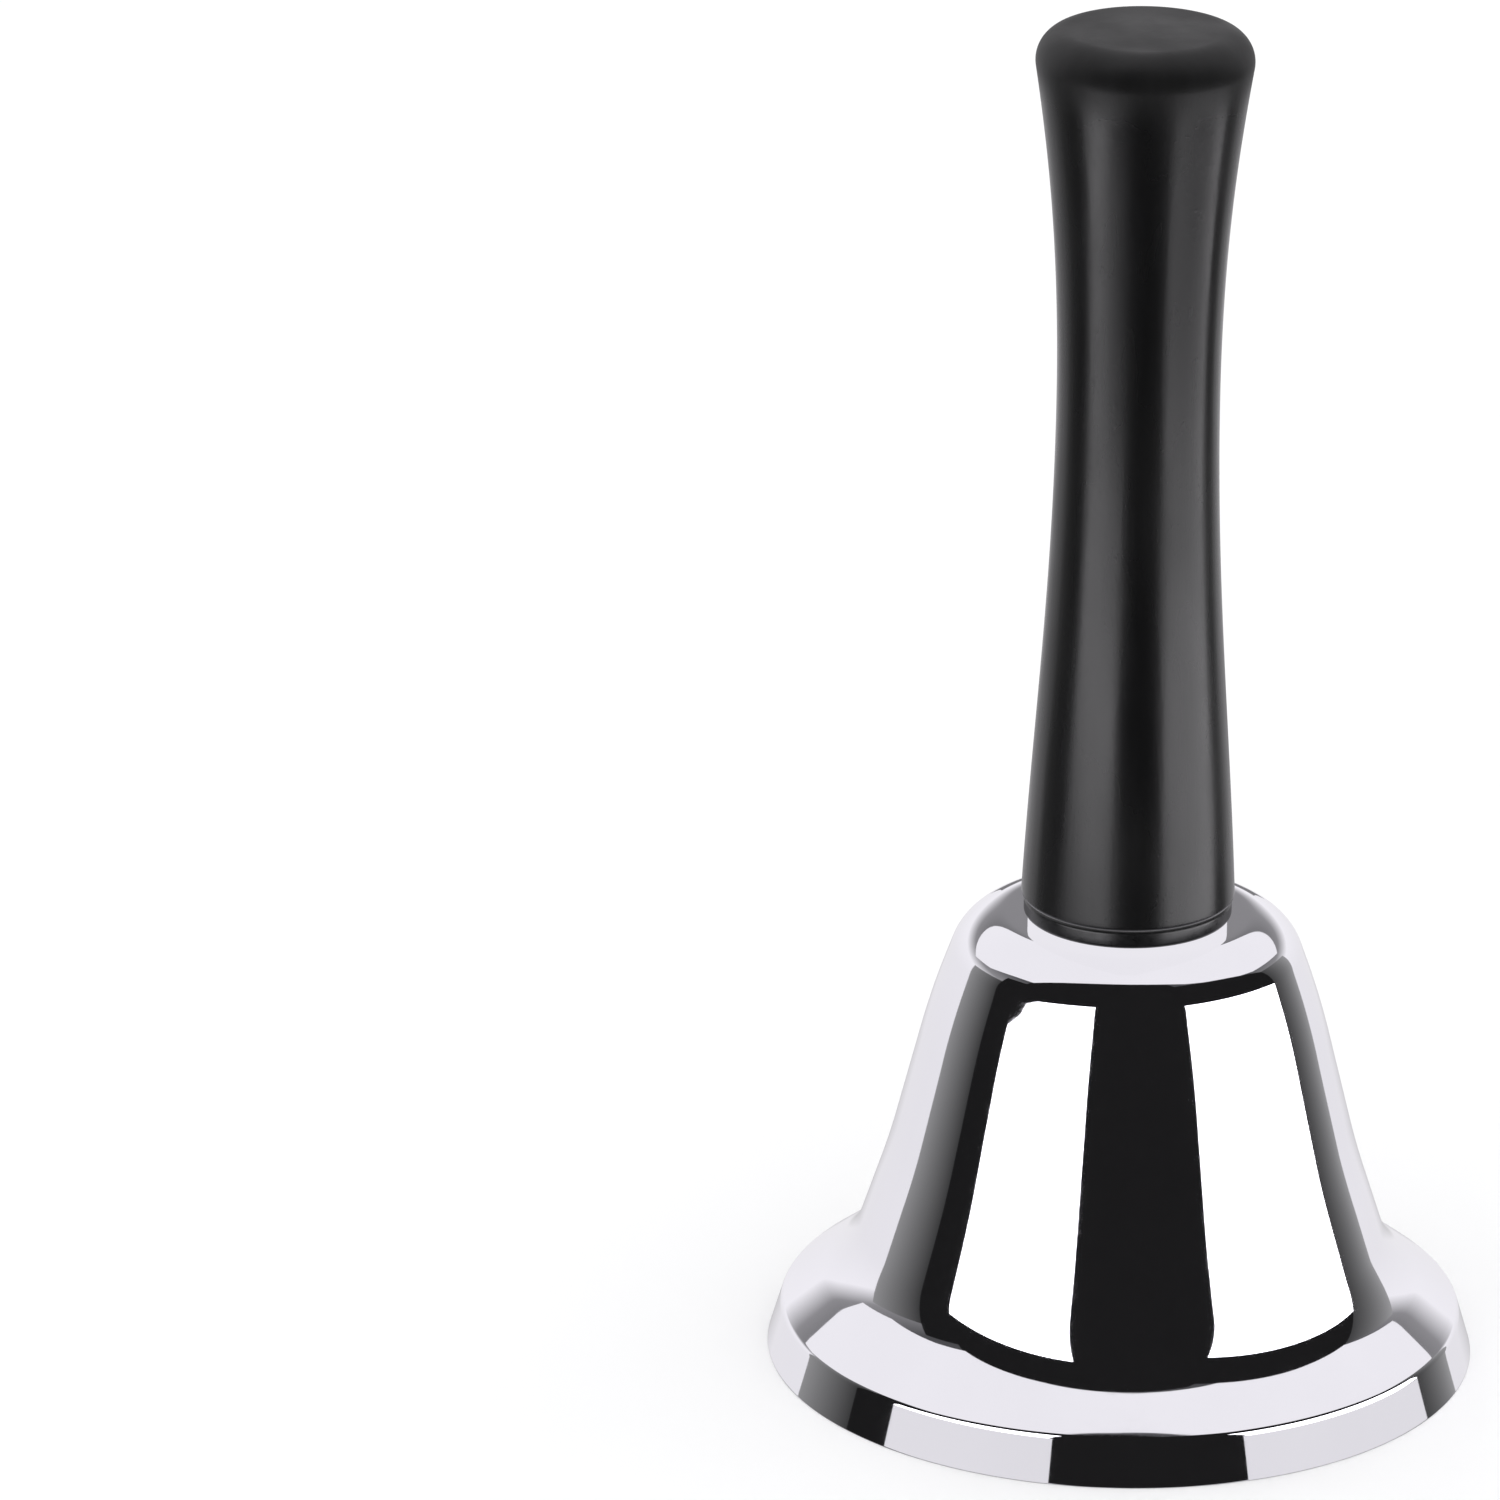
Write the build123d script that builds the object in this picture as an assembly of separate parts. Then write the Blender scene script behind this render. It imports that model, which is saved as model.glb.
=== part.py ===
"""Hand bell: flared chromed shell, turned black handle, and a ball clapper on a turning hanger.

Millimetres. The bell stands on its rim at Z = 0 with its axis on Z. At rest the clapper hangs
straight down. It swings about a cross pin along X, and its hanger turns about Z.
"""

import os
from math import cos, radians, sin

from build123d import *

# ---- Shell: outer surface, as (radius, height) corners from the rim up, each one rounded ----
RIM_RADIUS = 40.0
LIP_RADIUS = 38.45
LIP_HEIGHT = 5.15
LIP_ROUND = 1.2
FLARE_RADIUS = 30.8
FLARE_HEIGHT = 11.0
FLARE_ROUND = 12.0
WAIST_RADIUS = 26.5
WAIST_HEIGHT = 24.0
WAIST_ROUND = 90.0
NECK_RADIUS = 21.95
NECK_HEIGHT = 42.1
NECK_ROUND = 90.0
SHOULDER_RADIUS = 18.15
SHOULDER_ROUND = 6.4
BELL_HEIGHT = 52.6
WALL = 1.0

# ---- Handle and collar ----
COLLAR_THICKNESS = 2.1
COLLAR_INSET = 0.3  # how much smaller the collar's radius is than the handle's foot
COLLAR_ROUND = 0.5
HANDLE_LENGTH = 100.7
FOOT_RADIUS = 11.95
FOOT_ROUND = 0.6
FOOT_TAPER = 2.8  # degrees from the axis, at the foot
FOOT_REACH = 20.0  # how far up the foot's taper is felt
WAIST_GRIP_RADIUS = 9.0
WAIST_GRIP_HEIGHT = 59.5  # above the foot
WAIST_REACH_DOWN = 22.5
WAIST_REACH_UP = 15.8
HEAD_RADIUS = 11.95
HEAD_ROUND = 3.5
HEAD_FLARE = 9.0  # degrees from the axis, just under the rounded edge
HEAD_REACH = 10.2

# ---- Screw from inside the shell into the handle ----
SCREW_RADIUS = 1.5
SCREW_IN_HANDLE = 22.0
SCREW_CLEARANCE = 0.15
PILOT_EXTRA_DEPTH = 3.0
SCREW_HEAD_RADIUS = 2.8
SCREW_HEAD_HEIGHT = 2.0
SCREW_HEAD_ROUND = 0.7
DRIVER_SLOT_WIDTH = 0.9
DRIVER_SLOT_DEPTH = 1.0

# ---- Washer and flanged bush between the crown and the screw's head ----
WASHER_RADIUS = 6.0
WASHER_THICKNESS = 0.8
BUSH_RADIUS = 2.5
FLANGE_RADIUS = 3.4
FLANGE_THICKNESS = 0.8

# ---- Hanger: bent strap that turns on the bush, and its cross pin ----
STRAP_THICKNESS = 0.9
STRAP_WIDTH = 7.0
STRAP_GAP = 7.6  # between the ears
STRAP_BEND = 0.6  # inner radius of the two bends
TURN_CLEARANCE = 0.08  # strap hole over the bush, radial
LIFT_CLEARANCE = 0.1  # above and below the strap
EAR_BELOW_PIN = 2.4
PIN_RADIUS = 1.0
PIN_HEAD_RADIUS = 1.6
PIN_HEAD_HEIGHT = 0.5

# ---- Clapper ----
ROD_RADIUS = 0.9
EYE_CLEARANCE = 0.08  # eye over the pin, radial
EYE_BELOW_SCREW = 0.8  # free height between the screw's head and the eye
BALL_RADIUS = 8.0
BALL_FLAT_DEPTH = 3.5  # from the ball's centre down to its flat
BALL_FLAT_ABOVE_RIM = 2.4
BALL_EDGE = 0.3  # bevel round the flat
ROD_IN_BALL = 5.0

# ---- Heights that follow from the sizes above ----
CROWN_UNDERSIDE = BELL_HEIGHT - WALL
COLLAR_TOP = BELL_HEIGHT + COLLAR_THICKNESS
HANDLE_TOP = COLLAR_TOP + HANDLE_LENGTH
WASHER_UNDERSIDE = CROWN_UNDERSIDE - WASHER_THICKNESS
STRAP_TOP = WASHER_UNDERSIDE - LIFT_CLEARANCE
STRAP_UNDERSIDE = STRAP_TOP - STRAP_THICKNESS
FLANGE_TOP = STRAP_UNDERSIDE - LIFT_CLEARANCE
FLANGE_UNDERSIDE = FLANGE_TOP - FLANGE_THICKNESS
SCREW_HEAD_UNDERSIDE = FLANGE_UNDERSIDE - SCREW_HEAD_HEIGHT
EYE_MID_RADIUS = PIN_RADIUS + EYE_CLEARANCE + ROD_RADIUS
PIN_HEIGHT = SCREW_HEAD_UNDERSIDE - EYE_BELOW_SCREW - EYE_MID_RADIUS - ROD_RADIUS
BALL_HEIGHT = BALL_FLAT_ABOVE_RIM + BALL_FLAT_DEPTH
BALL_TOP = BALL_HEIGHT + BALL_RADIUS
HOLE_RADIUS = SCREW_RADIUS + SCREW_CLEARANCE
EAR_OUTSIDE = STRAP_GAP / 2 + STRAP_THICKNESS


def turned(*outline):
    """Solid of revolution about Z from a closed outline drawn as (radius, height)."""
    face = make_face(Curve() + list(outline))
    return revolve(Plane.XZ * face, Axis.Z)


def round_bar(radius, bottom, top):
    """Round bar on the Z axis between two heights."""
    return Pos(0, 0, (bottom + top) / 2) * Cylinder(radius, top - bottom)


def washer(outer, inner, bottom, top):
    """Flat ring on the Z axis between two heights."""
    return round_bar(outer, bottom, top) - round_bar(inner, bottom, top)


def offset_corners(corners, distance):
    """The same run of corners, moved sideways by distance towards the axis, with mitred corners."""
    lines = []
    for start, end in zip(corners, corners[1:]):
        along = (Vector(*end) - Vector(*start)).normalized()
        inward = Vector(-along.Y, along.X)
        lines.append((Vector(*start) + inward * distance, along))
    moved = []
    for (p, u), (q, v) in zip(lines, lines[1:]):
        gap = q - p
        reach = (gap.X * v.Y - gap.Y * v.X) / (u.X * v.Y - u.Y * v.X)
        moved.append(p + u * reach)
    first, first_along = lines[0]
    at_rim = first + first_along * ((corners[0][1] - first.Y) / first_along.Y)
    last, last_along = lines[-1]
    at_hole = last + last_along * ((corners[-1][0] - last.X) / last_along.X)
    return [(v.X, v.Y) for v in [at_rim, *moved, at_hole]]


def make_bell_shell():
    """Sheet shell of even thickness with a hole in its flat crown."""
    outer = [
        (RIM_RADIUS, 0.0),
        (LIP_RADIUS, LIP_HEIGHT),
        (FLARE_RADIUS, FLARE_HEIGHT),
        (WAIST_RADIUS, WAIST_HEIGHT),
        (NECK_RADIUS, NECK_HEIGHT),
        (SHOULDER_RADIUS, BELL_HEIGHT),
        (HOLE_RADIUS, BELL_HEIGHT),
    ]
    inner = offset_corners(outer, WALL)
    outer_rounds = [LIP_ROUND, FLARE_ROUND, WAIST_ROUND, NECK_ROUND, SHOULDER_ROUND]
    # The sheet keeps its thickness round each bend: a corner that bulges outwards is tighter
    # inside, and one that dips inwards (flare and waist) is wider.
    bends = [-WALL, WALL, WALL, -WALL, -WALL]
    inner_rounds = [size + bend for size, bend in zip(outer_rounds, bends)]
    return turned(
        FilletPolyline(*outer, radius=outer_rounds),
        FilletPolyline(*inner, radius=inner_rounds),
        Line(outer[0], inner[0]),
        Line(outer[-1], inner[-1]),
    )


def make_handle_collar():
    """Ring between the crown and the handle, with its outer edges rounded."""
    ring = washer(FOOT_RADIUS - COLLAR_INSET, HOLE_RADIUS, BELL_HEIGHT, COLLAR_TOP)
    rims = ring.edges().filter_by(GeomType.CIRCLE).group_by(SortBy.RADIUS)[-1]
    return fillet(rims, COLLAR_ROUND)


def make_handle():
    """Waisted handle in two smooth sweeps, with a rounded head and a blind pilot hole."""
    foot = Vector(FOOT_RADIUS, COLLAR_TOP + FOOT_ROUND)
    foot_pull = Vector(-sin(radians(FOOT_TAPER)), cos(radians(FOOT_TAPER))) * FOOT_REACH
    waist = Vector(WAIST_GRIP_RADIUS, COLLAR_TOP + WAIST_GRIP_HEIGHT)
    flare = Vector(sin(radians(HEAD_FLARE)), cos(radians(HEAD_FLARE)))
    head = Vector(
        HEAD_RADIUS - HEAD_ROUND * (1 - flare.Y),
        HANDLE_TOP - HEAD_ROUND * (1 + flare.X),
    )
    lower = Bezier(foot, foot + foot_pull, waist - Vector(0, WAIST_REACH_DOWN), waist)
    upper = Bezier(waist, waist + Vector(0, WAIST_REACH_UP), head - flare * HEAD_REACH, head)
    edge = JernArc(head, flare, HEAD_ROUND, 90 + HEAD_FLARE)
    foot_edge = JernArc((FOOT_RADIUS - FOOT_ROUND, COLLAR_TOP), (1, 0), FOOT_ROUND, 90)
    ends = Polyline(edge @ 1, (0, HANDLE_TOP), (0, COLLAR_TOP), foot_edge @ 0)
    pilot_top = COLLAR_TOP + SCREW_IN_HANDLE + PILOT_EXTRA_DEPTH
    pilot = round_bar(SCREW_RADIUS, COLLAR_TOP, pilot_top)
    return turned(foot_edge, lower, upper, edge, ends) - pilot


def make_crown_washer():
    return washer(WASHER_RADIUS, HOLE_RADIUS, WASHER_UNDERSIDE, CROWN_UNDERSIDE)


def make_hanger_bush():
    """Sleeve that spaces the flange from the washer, so that the clamped screw leaves the strap free."""
    sleeve = washer(BUSH_RADIUS, HOLE_RADIUS, FLANGE_TOP, WASHER_UNDERSIDE)
    flange = washer(FLANGE_RADIUS, HOLE_RADIUS, FLANGE_UNDERSIDE, FLANGE_TOP)
    return sleeve + flange


def make_hanger_screw():
    """Pan head screw, slotted, driven upwards."""
    shank = round_bar(SCREW_RADIUS, FLANGE_UNDERSIDE, COLLAR_TOP + SCREW_IN_HANDLE)
    head = round_bar(SCREW_HEAD_RADIUS, SCREW_HEAD_UNDERSIDE, FLANGE_UNDERSIDE)
    head = fillet(head.edges().sort_by(Axis.Z)[0], SCREW_HEAD_ROUND)
    slot_middle = SCREW_HEAD_UNDERSIDE + DRIVER_SLOT_DEPTH / 2
    slot = Box(2 * SCREW_HEAD_RADIUS, DRIVER_SLOT_WIDTH, DRIVER_SLOT_DEPTH)
    return shank + head - Pos(0, 0, slot_middle) * slot


def make_hanger_strap():
    """Strip bent into a U: a web that turns on the bush, and two ears that hold the pin."""
    ear_bottom = PIN_HEIGHT - EAR_BELOW_PIN
    outer = FilletPolyline(
        (-EAR_OUTSIDE, ear_bottom),
        (-EAR_OUTSIDE, STRAP_TOP),
        (EAR_OUTSIDE, STRAP_TOP),
        (EAR_OUTSIDE, ear_bottom),
        radius=STRAP_BEND + STRAP_THICKNESS,
    )
    inner = FilletPolyline(
        (-STRAP_GAP / 2, ear_bottom),
        (-STRAP_GAP / 2, STRAP_UNDERSIDE),
        (STRAP_GAP / 2, STRAP_UNDERSIDE),
        (STRAP_GAP / 2, ear_bottom),
        radius=STRAP_BEND,
    )
    ends = [Line(outer @ 0, inner @ 0), Line(outer @ 1, inner @ 1)]
    section = Plane.XZ * make_face(Curve() + [outer, inner, *ends])
    strip = extrude(section, STRAP_WIDTH / 2, both=True)
    ear_corners = strip.edges().filter_by(Axis.X).group_by(Axis.Z)[0]
    strip = fillet(ear_corners, EAR_BELOW_PIN)
    turning_hole = round_bar(BUSH_RADIUS + TURN_CLEARANCE, STRAP_UNDERSIDE, STRAP_TOP)
    pin_hole = Pos(0, 0, PIN_HEIGHT) * Rot(0, 90, 0) * Cylinder(PIN_RADIUS, 2 * EAR_OUTSIDE)
    return strip - turning_hole - pin_hole


def make_strap_pin():
    """Cross pin with a flat head closed over each ear."""
    pin = Cylinder(PIN_RADIUS, 2 * EAR_OUTSIDE)
    for side in (-1, 1):
        head_middle = side * (EAR_OUTSIDE + PIN_HEAD_HEIGHT / 2)
        pin += Pos(0, 0, head_middle) * Cylinder(PIN_HEAD_RADIUS, PIN_HEAD_HEIGHT)
    return Pos(0, 0, PIN_HEIGHT) * Rot(0, 90, 0) * pin


def make_clapper_rod():
    """Straight wire with a closed eye round the pin, its lower end set in the ball."""
    eye = Pos(0, 0, PIN_HEIGHT) * Rot(0, 90, 0) * Torus(EYE_MID_RADIUS, ROD_RADIUS)
    wire = round_bar(ROD_RADIUS, BALL_TOP - ROD_IN_BALL, PIN_HEIGHT - EYE_MID_RADIUS)
    return eye + wire


def make_clapper_ball():
    """Ball with a flat underneath, so that it clears what the bell stands on."""
    flat_radius = (BALL_RADIUS**2 - BALL_FLAT_DEPTH**2) ** 0.5
    ball = Pos(0, 0, BALL_HEIGHT) * Sphere(BALL_RADIUS)
    below_flat = Box(2 * BALL_RADIUS, 2 * BALL_RADIUS, BALL_RADIUS)
    ball -= Pos(0, 0, BALL_FLAT_ABOVE_RIM - BALL_RADIUS / 2) * below_flat
    bevel_edge = ball.edges().filter_by(GeomType.CIRCLE).filter_by(
        lambda edge: abs(edge.radius - flat_radius) < BALL_EDGE
    )
    ball = chamfer(bevel_edge, BALL_EDGE)
    return ball - round_bar(ROD_RADIUS, BALL_TOP - ROD_IN_BALL, BALL_TOP + ROD_RADIUS)


NODES = {
    "handle": make_handle,
    "handle_collar": make_handle_collar,
    "bell_shell": make_bell_shell,
    "crown_washer": make_crown_washer,
    "hanger_bush": make_hanger_bush,
    "hanger_screw": make_hanger_screw,
    "hanger_strap": make_hanger_strap,
    "strap_pin": make_strap_pin,
    "clapper_rod": make_clapper_rod,
    "clapper_ball": make_clapper_ball,
}

os.makedirs("parts", exist_ok=True)
for name, make in NODES.items():
    export_step(make(), f"parts/{name}.step")
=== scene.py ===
"""Looks for the hand bell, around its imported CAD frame. Metres, +Z up, the bell stands on Z = 0."""

from math import atan2, ceil, cos, hypot, pi, radians, sin, tan

import bmesh
import bpy
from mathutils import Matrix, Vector


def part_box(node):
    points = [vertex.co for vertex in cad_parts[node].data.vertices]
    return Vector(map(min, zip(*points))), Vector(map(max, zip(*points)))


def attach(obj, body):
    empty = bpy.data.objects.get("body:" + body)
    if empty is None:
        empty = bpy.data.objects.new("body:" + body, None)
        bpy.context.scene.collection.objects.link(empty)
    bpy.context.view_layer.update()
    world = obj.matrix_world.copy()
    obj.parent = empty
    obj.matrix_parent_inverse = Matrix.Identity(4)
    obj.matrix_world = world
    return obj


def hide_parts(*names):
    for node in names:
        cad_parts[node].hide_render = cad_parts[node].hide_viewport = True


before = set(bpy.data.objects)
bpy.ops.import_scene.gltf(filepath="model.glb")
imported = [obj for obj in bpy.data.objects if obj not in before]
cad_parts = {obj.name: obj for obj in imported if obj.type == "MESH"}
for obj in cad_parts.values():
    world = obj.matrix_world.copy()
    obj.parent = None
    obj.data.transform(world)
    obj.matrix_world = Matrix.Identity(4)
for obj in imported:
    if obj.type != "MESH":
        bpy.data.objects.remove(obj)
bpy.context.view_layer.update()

MM = 0.001

# ---- Turned outlines, in mm and degrees: the CAD nodes' own sizes, with their cut edges softened ----
RIM_RADIUS = 40.0
LIP_RADIUS, LIP_HEIGHT, LIP_ROUND = 38.45, 5.15, 1.2
FLARE_RADIUS, FLARE_HEIGHT, FLARE_ROUND = 30.8, 11.0, 12.0
WAIST_RADIUS, WAIST_HEIGHT, WAIST_ROUND = 26.5, 24.0, 90.0
NECK_RADIUS, NECK_HEIGHT, NECK_ROUND = 21.95, 42.1, 90.0
SHOULDER_RADIUS, SHOULDER_ROUND = 18.15, 6.4
WALL = 1.0
SHEET_EDGE = 0.12  # rounding of the sheet's edge at the rim
CROWN_HOLE = 1.65
COLLAR_INSET, COLLAR_ROUND = 0.3, 0.5
FOOT_TAPER, FOOT_REACH, FOOT_ROUND = 2.8, 20.0, 0.6
GRIP_RADIUS, GRIP_HEIGHT, GRIP_REACH_DOWN, GRIP_REACH_UP = 9.0, 59.5, 22.5, 15.8
HEAD_RADIUS, HEAD_FLARE, HEAD_REACH, HEAD_ROUND = 11.95, 9.0, 10.2, 3.5
BALL_RADIUS, BALL_FLAT_DEPTH, BALL_EDGE = 8.0, 3.5, 0.35

# ---- How finely the turned surfaces are cut ----
TURN_STEPS = 288  # flats all the way round
CURVE_STEPS = 40  # pieces of a cubic curve
ARC_STEP = radians(3.0)
RUN_STEP = 0.7  # mm, longest piece of an arc or of a straight run
ON_AXIS = 1e-4  # mm, a smaller radius is a point on the axis
SAME_POINT = 1e-6  # mm

# ---- Colours of the materials ----
BRIGHT_PLATING = (0.87, 0.865, 0.9)
INNER_PLATING = (0.8, 0.8, 0.82)
BALL_PLATING = (0.75, 0.75, 0.77)
ROD_PLATING = (0.7, 0.7, 0.72)
ZINC = (0.62, 0.62, 0.64)
BRASS = (0.78, 0.58, 0.26)
LACQUER_BLACK = (0.0035, 0.0035, 0.0038)
MOULDED_BLACK = (0.004, 0.004, 0.0045)
PAPER_SHADE, PAPER = (0.93, 0.93, 0.935), (0.95, 0.95, 0.955)

CALM_RIPPLE = 0.06  # share of the inner plating's ripple that is left near the rim
RUBBED_ROUGHNESS = 0.3  # what rubbing adds to the roughness of the handle's head
RUBBED_FROM, RUBBED_TO = 9.0, 1.0  # mm below the handle's top

# ---- Studio. Brightness of what mirrors see, with 1 for white ----
STUDIO_TINT = (0.985, 0.97, 1.0)
SOFTBOX = 3.8
SOFTBOX_FOOT = 0.86
CEILING = 0.98
CROWN_FILL = 0.96
BACK_GREY = 0.22
BLACK = 0.012
WHITE_LIGHT = 1.12  # what the camera and all matt surfaces see all round
CEILING_HEIGHT = 300  # mm
CARD_BOTTOM = -250  # mm, for the cards that reach below the floor
FLOOR_DROP = 0.02  # mm, keeps the floor clear of the rim
FLOOR_REACH = 4.0  # m

# ---- Camera ----
LENS, FILM_WIDTH = 240, 36  # mm
CAMERA_REACH = 20  # m
CAMERA_PLACE = (0, -1.0432, 0.4640)
CAMERA_TURN = (69.37, -0.36, 2.466)  # degrees

# A Mix node's colour sockets share their names with its other sockets, so they go by number.
MIX_COLOUR_A, MIX_COLOUR_B, MIX_COLOUR_RESULT = 6, 7, 2


def node_box(node):
    """Lowest and highest corner of a CAD node, in mm."""
    low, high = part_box(node)
    return low / MM, high / MM


def add_object(name, data):
    obj = bpy.data.objects.new(name, data)
    bpy.context.scene.collection.objects.link(obj)
    return obj


# ---------------------------------------------------------------- outlines

def arc(centre, radius, start, turn):
    """Points along an arc, both ends included. Angles in radians."""
    steps = max(2, ceil(abs(turn) / ARC_STEP), ceil(abs(turn) * radius / RUN_STEP))
    angles = [start + turn * k / steps for k in range(steps + 1)]
    return [(centre[0] + radius * cos(angle), centre[1] + radius * sin(angle)) for angle in angles]


def rounded(corners, rounds):
    """A run of (radius, height) corners with each inner corner replaced by a tangent arc."""
    points = [corners[0]]
    for before, corner, after, size in zip(corners, corners[1:], corners[2:], rounds):
        a, p, b = Vector(before), Vector(corner), Vector(after)
        u, v = (a - p).normalized(), (b - p).normalized()
        half = u.angle(v) / 2
        centre = p + (u + v).normalized() * (size / sin(half))
        first, last = p + u * (size / tan(half)), p + v * (size / tan(half))
        start = atan2(first.y - centre.y, first.x - centre.x)
        end = atan2(last.y - centre.y, last.x - centre.x)
        turn = (end - start + pi) % (2 * pi) - pi
        points += arc(centre, size, start, turn)
    return points + [corners[-1]]


def bezier(a, b, c, d):
    """Points along a cubic curve, both ends included."""
    return [
        tuple(a * (1 - t) ** 3 + b * 3 * t * (1 - t) ** 2 + c * 3 * t * t * (1 - t) + d * t**3)
        for t in (k / CURVE_STEPS for k in range(CURVE_STEPS + 1))
    ]


def subdivided(points):
    """The outline with its long straight runs cut up, so that shading stays true next to bends."""
    out = [points[0]]
    for (r0, z0), (r1, z1) in zip(points, points[1:]):
        length = hypot(r1 - r0, z1 - z0)
        if length < SAME_POINT:
            continue
        steps = max(1, ceil(length / RUN_STEP))
        out += [(r0 + (r1 - r0) * k / steps, z0 + (z1 - z0) * k / steps) for k in range(1, steps + 1)]
    return out


def offset_run(corners, distance):
    """A run of corners moved sideways towards the axis, with mitred corners. Its first end keeps its height
    and its last end keeps its radius."""
    lines = []
    for start, end in zip(corners, corners[1:]):
        along = (Vector(end) - Vector(start)).normalized()
        inward = Vector((-along.y, along.x))
        lines.append((Vector(start) + inward * distance, along))
    moved = []
    for (p, u), (q, v) in zip(lines, lines[1:]):
        gap = q - p
        moved.append(p + u * ((gap.x * v.y - gap.y * v.x) / (u.x * v.y - u.y * v.x)))
    first, along = lines[0]
    moved.insert(0, first + along * ((corners[0][1] - first.y) / along.y))
    last, along = lines[-1]
    moved.append(last + along * ((corners[-1][0] - last.x) / along.x))
    return [tuple(p) for p in moved]


# ---------------------------------------------------------------- meshes

def turned_mesh(name, outline, material_of=None):
    """Mesh of revolution about Z from an outline in mm. An end on the axis closes to a point. material_of
    gives the material index of the band of faces after each point of the outline."""
    mesh = bpy.data.meshes.new(name)
    bm = bmesh.new()
    rings = []
    for r, z in outline:
        if r < ON_AXIS:
            rings.append([bm.verts.new((0, 0, z * MM))])
            continue
        angles = (2 * pi * k / TURN_STEPS for k in range(TURN_STEPS))
        rings.append([bm.verts.new((r * MM * cos(a), r * MM * sin(a), z * MM)) for a in angles])
    for index, (low, high) in enumerate(zip(rings, rings[1:])):
        for k in range(TURN_STEPS):
            j = (k + 1) % TURN_STEPS
            corners = [low[k % len(low)], low[j % len(low)], high[j % len(high)], high[k % len(high)]]
            face = bm.faces.new(list(dict.fromkeys(corners)))
            face.smooth = True
            if material_of:
                face.material_index = material_of(index)
    bmesh.ops.recalc_face_normals(bm, faces=bm.faces)
    bm.to_mesh(mesh)
    bm.free()
    return add_object(name, mesh)


def make_shell():
    """Sheet shell: outer surface up, over the crown to its hole, and back down inside."""
    crown_top = node_box("bell_shell")[1].z
    outer = [
        (RIM_RADIUS, 0.0),
        (LIP_RADIUS, LIP_HEIGHT),
        (FLARE_RADIUS, FLARE_HEIGHT),
        (WAIST_RADIUS, WAIST_HEIGHT),
        (NECK_RADIUS, NECK_HEIGHT),
        (SHOULDER_RADIUS, crown_top),
        (CROWN_HOLE, crown_top),
    ]
    down = list(reversed(offset_run(outer, WALL)))
    outer_rounds = [LIP_ROUND, FLARE_ROUND, WAIST_ROUND, NECK_ROUND, SHOULDER_ROUND]
    inner_changes = [-WALL, WALL, WALL, -WALL, -WALL]  # tighter inside a bulge, wider behind a hollow
    inner_rounds = [size + change for size, change in zip(outer_rounds, inner_changes)]
    rim_corners = [down[-2], down[-1], outer[0], outer[1]]
    rim = rounded(rim_corners, [SHEET_EDGE, SHEET_EDGE])[1:-1]
    outside = subdivided([rim[-1]] + rounded(outer, outer_rounds)[1:])
    inside = subdivided(rounded(down, list(reversed(inner_rounds)))[:-1] + [rim[0]])
    inside_bands = range(len(outside), len(outside) + len(inside))
    return turned_mesh("shell_plate", outside + inside + rim[1:], lambda index: int(index in inside_bands))


def make_handle():
    """Turned handle: rounded foot, slightly tapered, waisted, flaring to a flat head with a rounded edge."""
    low, high = node_box("handle")
    foot_radius = node_box("handle_collar")[1].x + COLLAR_INSET
    foot = Vector((foot_radius, low.z + FOOT_ROUND))
    pull = Vector((-sin(radians(FOOT_TAPER)), cos(radians(FOOT_TAPER)))) * FOOT_REACH
    grip = Vector((GRIP_RADIUS, low.z + GRIP_HEIGHT))
    flare = Vector((sin(radians(HEAD_FLARE)), cos(radians(HEAD_FLARE))))
    head = Vector((HEAD_RADIUS - HEAD_ROUND * (1 - flare.y), high.z - HEAD_ROUND * (1 + flare.x)))
    edge_centre = head + Vector((-flare.y, flare.x)) * HEAD_ROUND
    outline = [(0.0, low.z)]
    outline += arc((foot.x - FOOT_ROUND, foot.y), FOOT_ROUND, -pi / 2, pi / 2)
    outline += bezier(foot, foot + pull, grip - Vector((0, GRIP_REACH_DOWN)), grip)[1:]
    outline += bezier(grip, grip + Vector((0, GRIP_REACH_UP)), head - flare * HEAD_REACH, head)[1:]
    outline += arc(edge_centre, HEAD_ROUND, -radians(HEAD_FLARE), pi / 2 + radians(HEAD_FLARE))[1:]
    outline += [(0.0, high.z)]
    return turned_mesh("handle_turning", subdivided(outline))


def make_collar():
    """Ring between handle and crown, with both of its outer edges rounded."""
    low, high = node_box("handle_collar")
    corners = [(CROWN_HOLE, low.z), (high.x, low.z), (high.x, high.z), (CROWN_HOLE, high.z)]
    outline = subdivided(rounded(corners, [COLLAR_ROUND, COLLAR_ROUND]))
    return turned_mesh("collar_ring", outline + outline[:1])


def make_ball():
    """Ball with a flat below, and a rounded edge round the flat."""
    low, _ = node_box("clapper_ball")
    centre = low.z + BALL_FLAT_DEPTH
    flat_radius = (BALL_RADIUS**2 - BALL_FLAT_DEPTH**2) ** 0.5
    flat_angle = atan2(-BALL_FLAT_DEPTH, flat_radius)
    sphere = arc((0, centre), BALL_RADIUS, flat_angle, pi / 2 - flat_angle)
    edge = rounded([(0.0, low.z), (flat_radius, low.z), sphere[1]], [BALL_EDGE])
    top = (0.0, centre + BALL_RADIUS)
    return turned_mesh("ball_turning", subdivided(edge[:-1] + sphere[1:-1] + [top]))


# ---------------------------------------------------------------- materials

def new_material(name):
    material = bpy.data.materials.new(name)
    material.use_nodes = True
    nodes, links = material.node_tree.nodes, material.node_tree.links
    return material, nodes, links, nodes["Principled BSDF"]


def object_coords(nodes):
    return nodes.new("ShaderNodeTexCoord").outputs["Object"]


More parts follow.
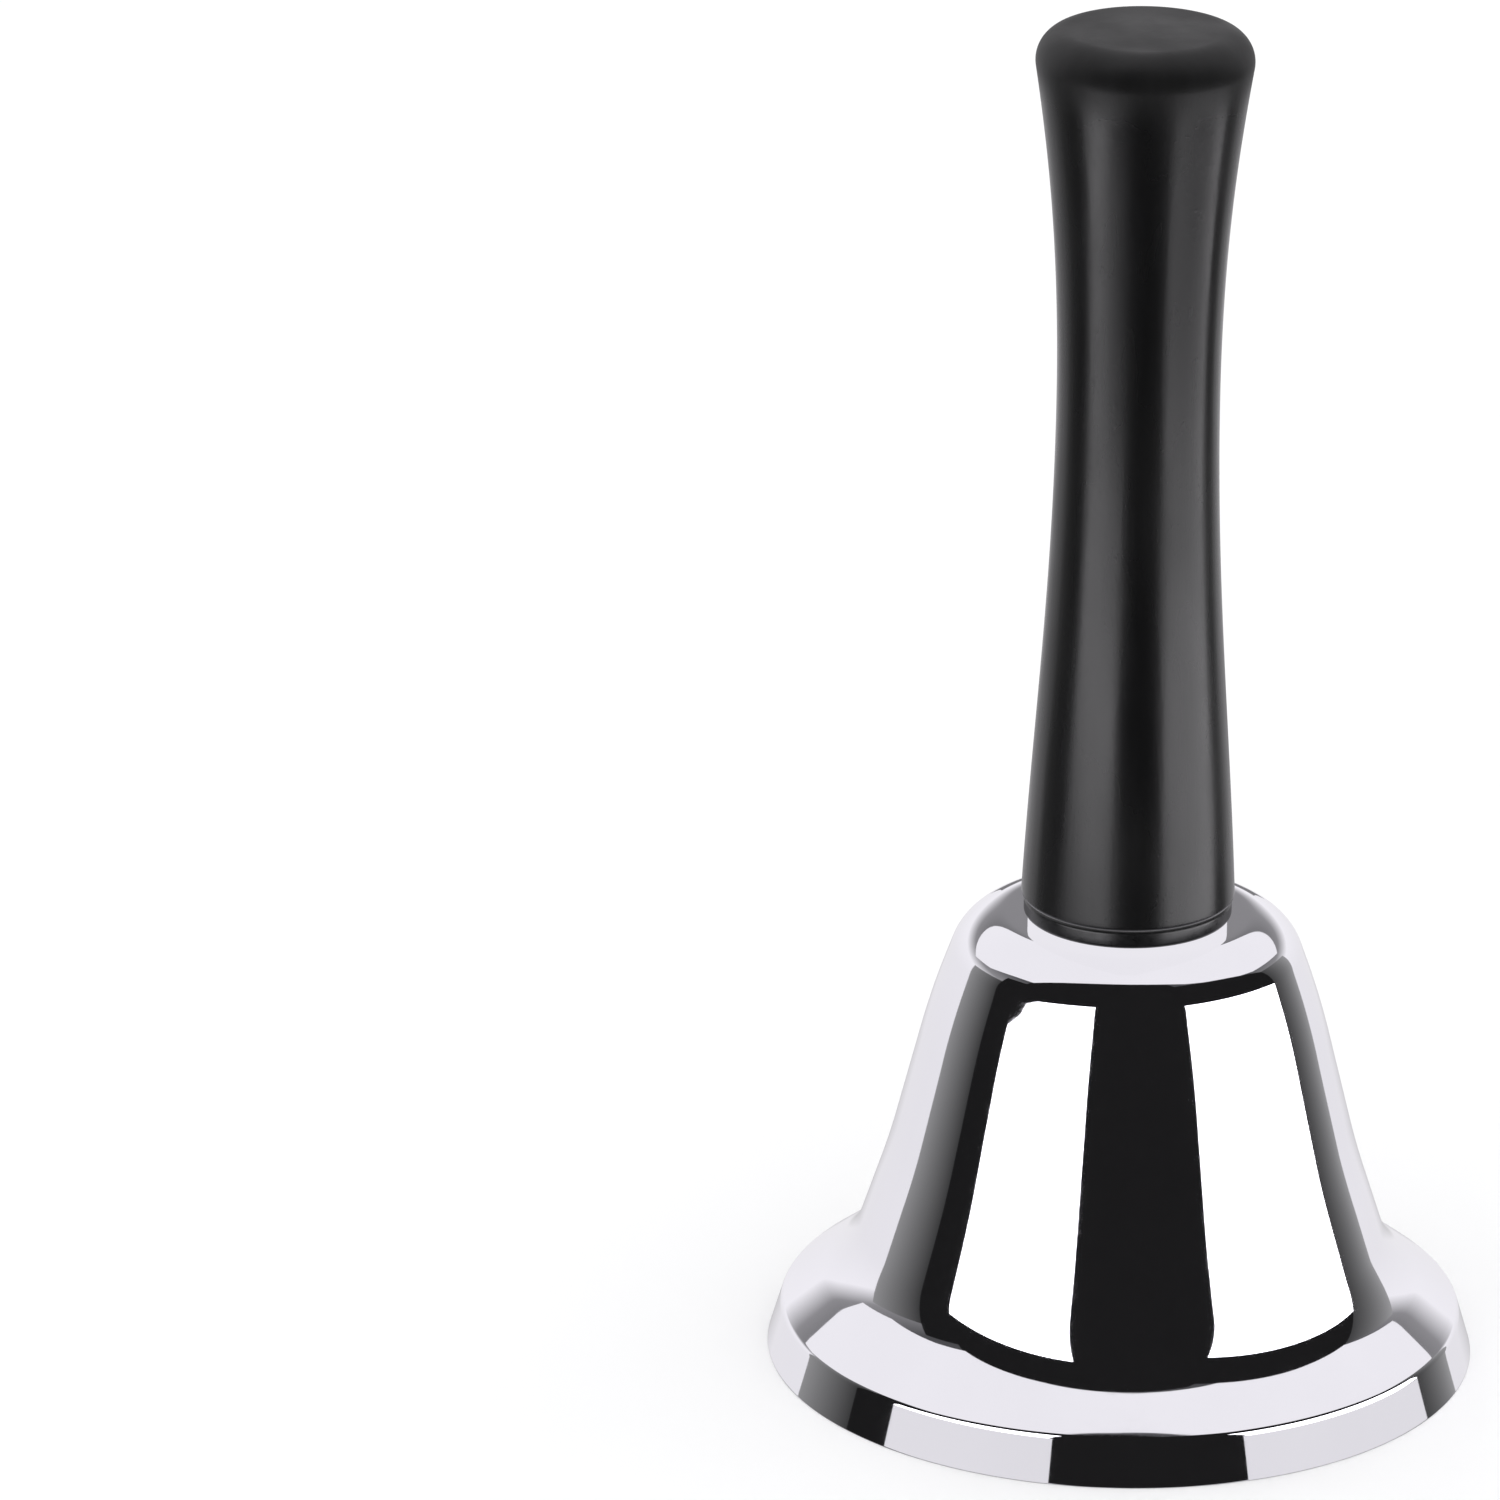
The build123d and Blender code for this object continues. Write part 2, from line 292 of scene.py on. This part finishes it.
def noise(nodes, links, coords, scale, detail, stretch=(1, 1, 1), roughness=0.5):
    mapping = nodes.new("ShaderNodeMapping")
    mapping.inputs["Scale"].default_value = stretch
    links.new(coords, mapping.inputs["Vector"])
    texture = nodes.new("ShaderNodeTexNoise")
    texture.inputs["Scale"].default_value = scale
    texture.inputs["Detail"].default_value = detail
    texture.inputs["Roughness"].default_value = roughness
    links.new(mapping.outputs["Vector"], texture.inputs["Vector"])
    return texture.outputs["Fac"]


def opaque(value):
    """RGBA of a grey level or of an RGB colour."""
    return (*value, 1) if isinstance(value, tuple) else (value, value, value, 1)


def ramp(nodes, links, value, low, high, black, white):
    """Maps value from low..high to black..white, which are grey levels or colours."""
    node = nodes.new("ShaderNodeValToRGB")
    node.color_ramp.elements[0].position = low
    node.color_ramp.elements[1].position = high
    node.color_ramp.elements[0].color = opaque(black)
    node.color_ramp.elements[1].color = opaque(white)
    links.new(value, node.inputs["Fac"])
    return node.outputs["Color"]


def by_height(nodes, links, coords, low, high, at_low, at_high, interpolation="LINEAR"):
    """A value that runs from at_low to at_high between two heights in mm, and stays level past them."""
    height = nodes.new("ShaderNodeSeparateXYZ")
    links.new(coords, height.inputs["Vector"])
    rise = nodes.new("ShaderNodeMapRange")
    rise.interpolation_type = interpolation
    rise.inputs["From Min"].default_value = low * MM
    rise.inputs["From Max"].default_value = high * MM
    rise.inputs["To Min"].default_value = at_low
    rise.inputs["To Max"].default_value = at_high
    links.new(height.outputs["Z"], rise.inputs["Value"])
    return rise.outputs["Result"]


def bump(nodes, links, height, distance, strength, normal=None):
    """Surface normal for a height pattern. Its distance is in metres."""
    node = nodes.new("ShaderNodeBump")
    node.inputs["Strength"].default_value = strength
    node.inputs["Distance"].default_value = distance
    links.new(height, node.inputs["Height"])
    if normal:
        links.new(normal, node.inputs["Normal"])
    return node.outputs["Normal"]


def chrome(name, colour, roughness, ripple, ripple_scale, calm=None):
    """Bright plating: near-mirror, with faint smears in its polish and a ripple in its surface. With calm,
    two heights in mm, the ripple is faint below the first and full above the second."""
    material, nodes, links, shader = new_material(name)
    coords = object_coords(nodes)
    shader.inputs["Metallic"].default_value = 1.0
    smear = noise(nodes, links, coords, scale=60, detail=3, stretch=(1, 1, 0.35))
    tint = ramp(nodes, links, smear, 0.3, 0.7, tuple(c * 0.97 for c in colour), colour)
    links.new(tint, shader.inputs["Base Color"])
    scuff = noise(nodes, links, coords, scale=900, detail=4)
    links.new(ramp(nodes, links, scuff, 0.45, 0.8, roughness, roughness * 1.8), shader.inputs["Roughness"])
    wave = noise(nodes, links, coords, scale=ripple_scale, detail=2)
    normal = bump(nodes, links, wave, distance=ripple, strength=1.0)
    links.new(normal, shader.inputs["Normal"])
    if calm:
        strength = by_height(nodes, links, coords, *calm, CALM_RIPPLE, 1.0)
        links.new(strength, normal.node.inputs["Strength"])
    return material


def lacquer(name, colour, roughness, dull_from, dull_to):
    """Black lacquer over turned wood: faint upright grain, fine specks and rubbed patches. It gets duller
    between two heights in mm, where a palm has rubbed the head."""
    material, nodes, links, shader = new_material(name)
    coords = object_coords(nodes)
    shader.inputs["Specular IOR Level"].default_value = 0.36
    grain = noise(nodes, links, coords, scale=420, detail=5, stretch=(1, 1, 0.05), roughness=0.6)
    tint = ramp(nodes, links, grain, 0.35, 0.75, colour, tuple(c * 1.7 for c in colour))
    links.new(tint, shader.inputs["Base Color"])
    patches = noise(nodes, links, coords, scale=110, detail=4, stretch=(1, 1, 0.3))
    rubbed = by_height(nodes, links, coords, dull_from, dull_to, 0.0, RUBBED_ROUGHNESS, "SMOOTHSTEP")
    total = nodes.new("ShaderNodeMath")
    links.new(ramp(nodes, links, patches, 0.3, 0.7, roughness * 0.8, roughness * 1.4), total.inputs[0])
    links.new(rubbed, total.inputs[1])
    links.new(total.outputs["Value"], shader.inputs["Roughness"])
    specks = noise(nodes, links, coords, scale=2600, detail=2)
    pit_marks = ramp(nodes, links, specks, 0.62, 0.72, 0.0, 1.0)
    pits = bump(nodes, links, pit_marks, distance=0.00001, strength=0.5)
    links.new(bump(nodes, links, grain, distance=0.00004, strength=0.6, normal=pits), shader.inputs["Normal"])
    return material


def moulded(name, colour, roughness):
    """Black moulded ring: fine matt texture."""
    material, nodes, links, shader = new_material(name)
    grain = noise(nodes, links, object_coords(nodes), scale=1500, detail=3)
    tint = ramp(nodes, links, grain, 0.3, 0.7, colour, tuple(c * 1.5 for c in colour))
    links.new(tint, shader.inputs["Base Color"])
    gloss = ramp(nodes, links, grain, 0.3, 0.7, roughness * 0.9, roughness * 1.2)
    links.new(gloss, shader.inputs["Roughness"])
    links.new(bump(nodes, links, grain, distance=0.00001, strength=0.6), shader.inputs["Normal"])
    return material


def fixing_metal(name, colour, roughness):
    """Zinc plated or turned fixings: cloudy colour and fine scratches."""
    material, nodes, links, shader = new_material(name)
    coords = object_coords(nodes)
    shader.inputs["Metallic"].default_value = 1.0
    cloud = noise(nodes, links, coords, scale=300, detail=4)
    scratches = noise(nodes, links, coords, scale=1800, detail=3, stretch=(1, 1, 0.1))
    tint = ramp(nodes, links, cloud, 0.3, 0.7, tuple(c * 0.8 for c in colour), colour)
    links.new(tint, shader.inputs["Base Color"])
    links.new(ramp(nodes, links, cloud, 0.3, 0.7, roughness, roughness * 1.5), shader.inputs["Roughness"])
    links.new(bump(nodes, links, scratches, distance=0.00001, strength=0.5), shader.inputs["Normal"])
    return material


# ---------------------------------------------------------------- stage

def tinted(level):
    """RGBA of the studio's light at a brightness."""
    return (*[level * part for part in STUDIO_TINT], 1)


def card(name, corners, level, level_end=None):
    """Flat card that only mirrors see, with corners (right, towards the camera, up) in mm. On a card with
    four corners, its brightness may run from level at the first side to level_end at the far one."""
    mesh = bpy.data.meshes.new(name)
    mesh.from_pydata([(x * MM, -y * MM, z * MM) for x, y, z in corners], [], [range(len(corners))])
    obj = add_object(name, mesh)
    material = bpy.data.materials.new(name)
    material.use_nodes = True
    nodes, links = material.node_tree.nodes, material.node_tree.links
    nodes.clear()
    light = nodes.new("ShaderNodeEmission")
    output = nodes.new("ShaderNodeOutputMaterial")
    links.new(light.outputs["Emission"], output.inputs["Surface"])
    light.inputs["Color"].default_value = tinted(level)
    if level_end is not None:
        uv = mesh.uv_layers.new()
        for loop, corner in zip(uv.data, [(0, 0), (1, 0), (1, 1), (0, 1)]):
            loop.uv = corner
        across = nodes.new("ShaderNodeSeparateXYZ")
        links.new(nodes.new("ShaderNodeTexCoord").outputs["UV"], across.inputs["Vector"])
        links.new(ramp(nodes, links, across.outputs["X"], 0, 1, level, level_end), light.inputs["Color"])
    mesh.materials.append(material)
    obj.visible_camera = False
    obj.visible_diffuse = False
    obj.visible_shadow = False
    obj.visible_transmission = False


def upright(name, start, end, bottom, top, level, level_end=None, top_end=None):
    """Standing card between two points of the floor plan. Its top may run to another height, top_end."""
    far_top = top if top_end is None else top_end
    corners = [(*start, bottom), (*end, bottom), (*end, far_top), (*start, top)]
    card(name, corners, level, level_end)


def make_cards():
    """Two softboxes either side of the camera, black round them, greys at the sides, a white ceiling, and
    crown_fill, which stands where the handle is because the crown doesn't mirror the handle."""
    low = CARD_BOTTOM
    upright("softbox_left", (-28, 88), (-265, 84), 0, 80, SOFTBOX, top_end=84)
    upright("softbox_right", (66, 91), (192, -51), 0, 87, SOFTBOX, top_end=62)
    upright("softbox_left_foot", (-26, 87.9), (-265, 83.9), low, 23, SOFTBOX_FOOT, top_end=20)
    upright("softbox_right_foot", (62, 90), (191, -52), low, 21, SOFTBOX_FOOT, top_end=-10)
    upright("black_front", (-330, 96), (100, 96), low, 330, BLACK)
    upright("black_right", (70, 96), (205, -56), low, 235, BLACK, top_end=150)
    upright("black_left", (-290, 96), (-290, 10), low, 250, BLACK, top_end=200)
    upright("grey_left", (-290, 10), (-290, -135), low, 150, 0.05, level_end=0.3, top_end=110)
    upright("grey_right", (205, -56), (300, -260), low, 150, 0.06, level_end=0.36, top_end=150)
    upright("grey_back", (-70, -400), (70, -400), 0, 90, BACK_GREY)
    upright("crown_fill", (-11.2, -3), (11.2, -3), 53, 250, CROWN_FILL)
    front = [(-300, 96), (0, 88), (134, 78)]
    right = [(268, 25), (378, -107), (500, -460)]
    left = [(-690, -460), (-560, -166), (-360, 25)]
    card("ceiling", [(x, y, CEILING_HEIGHT) for x, y in front + right + left], CEILING)


def make_floor():
    """White paper floor. Mirrors don't see it: they see the cards and the world's light below it."""
    mesh = bpy.data.meshes.new("floor")
    bm = bmesh.new()
    bmesh.ops.create_grid(bm, x_segments=1, y_segments=1, size=FLOOR_REACH)
    bm.to_mesh(mesh)
    bm.free()
    floor = add_object("floor", mesh)
    floor.location.z = -FLOOR_DROP * MM
    material, nodes, links, shader = new_material("floor_paper")
    shade = noise(nodes, links, object_coords(nodes), scale=9, detail=2)
    links.new(ramp(nodes, links, shade, 0.3, 0.7, PAPER_SHADE, PAPER), shader.inputs["Base Color"])
    shader.inputs["Roughness"].default_value = 0.7
    shader.inputs["Specular IOR Level"].default_value = 0.0
    mesh.materials.append(material)
    floor.visible_glossy = False


def make_light():
    """Even white light all round. Mirrors see a room instead: grey below, pale round the horizon and dark
    overhead."""
    world = bpy.data.worlds.new("studio")
    bpy.context.scene.world = world
    world.use_nodes = True
    nodes, links = world.node_tree.nodes, world.node_tree.links
    height = nodes.new("ShaderNodeSeparateXYZ")
    links.new(nodes.new("ShaderNodeTexCoord").outputs["Generated"], height.inputs["Vector"])
    share = nodes.new("ShaderNodeMapRange")
    share.inputs["From Min"].default_value = -1
    links.new(height.outputs["Z"], share.inputs["Value"])
    room = nodes.new("ShaderNodeValToRGB")
    band = room.color_ramp.elements  # from 0, straight down, to 1, straight up
    band[0].position, band[0].color = 0.25, (0.25, 0.25, 0.26, 1)
    band[1].position, band[1].color = 0.8, (0.08, 0.08, 0.084, 1)
    for position, level in ((0.36, 0.88), (0.59, 1.0), (0.67, 0.3)):
        band.new(position).color = tinted(level)
    links.new(share.outputs["Result"], room.inputs["Fac"])
    mix = nodes.new("ShaderNodeMix")
    mix.data_type = "RGBA"
    links.new(nodes.new("ShaderNodeLightPath").outputs["Is Glossy Ray"], mix.inputs["Factor"])
    mix.inputs[MIX_COLOUR_A].default_value = opaque(WHITE_LIGHT)
    links.new(room.outputs["Color"], mix.inputs[MIX_COLOUR_B])
    links.new(mix.outputs[MIX_COLOUR_RESULT], nodes["Background"].inputs["Color"])
    bpy.context.scene.view_settings.view_transform = "Standard"


def make_camera():
    data = bpy.data.cameras.new("camera")
    data.lens = LENS
    data.sensor_width = FILM_WIDTH
    data.clip_end = CAMERA_REACH
    camera = add_object("camera", data)
    camera.location = CAMERA_PLACE
    camera.rotation_euler = [radians(angle) for angle in CAMERA_TURN]
    bpy.context.scene.camera = camera


# ---------------------------------------------------------------- assembly

def stand_in(piece, node, body, slot, *materials):
    """Gives a turned piece its materials and puts it on its body in place of its CAD node."""
    for material in materials:
        piece.data.materials.append(material)
    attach(piece, body)
    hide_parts(node)
    return piece


def dress(node, material):
    """Gives a CAD node that stays visible its own material."""
    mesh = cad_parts[node].data
    mesh.materials.clear()
    mesh.materials.append(material)


plating = chrome("bright_chrome", BRIGHT_PLATING, 0.03, ripple=0.00002, ripple_scale=60)
calm_heights = (WAIST_HEIGHT / 2, WAIST_HEIGHT)
lining = chrome("inner_chrome", INNER_PLATING, 0.05, ripple=0.00006, ripple_scale=520, calm=calm_heights)
stand_in(make_shell(), "bell_shell", "bell", "shell", plating, lining)

handle_top = node_box("handle")[1].z
lacquered = lacquer("black_lacquer", LACQUER_BLACK, 0.24, handle_top - RUBBED_FROM, handle_top - RUBBED_TO)
handle = stand_in(make_handle(), "handle", "bell", "handle", lacquered)
moulding = moulded("black_moulding", MOULDED_BLACK, 0.3)
collar = stand_in(make_collar(), "handle_collar", "bell", "collar", moulding)

ball_plating = chrome("ball_chrome", BALL_PLATING, 0.08, ripple=0.00001, ripple_scale=400)
stand_in(make_ball(), "clapper_ball", "clapper", "ball", ball_plating)
dress("clapper_rod", chrome("rod_chrome", ROD_PLATING, 0.12, ripple=0.00001, ripple_scale=600))

zinc = fixing_metal("zinc_plate", ZINC, 0.28)
for node in ("crown_washer", "hanger_screw", "hanger_strap", "strap_pin"):
    dress(node, zinc)
dress("hanger_bush", fixing_metal("turned_brass", BRASS, 0.25))

for piece in (handle, collar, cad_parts["hanger_screw"]):
    piece.visible_glossy = False  # mirrors see crown_fill in their place

make_cards()
make_floor()
make_light()
make_camera()
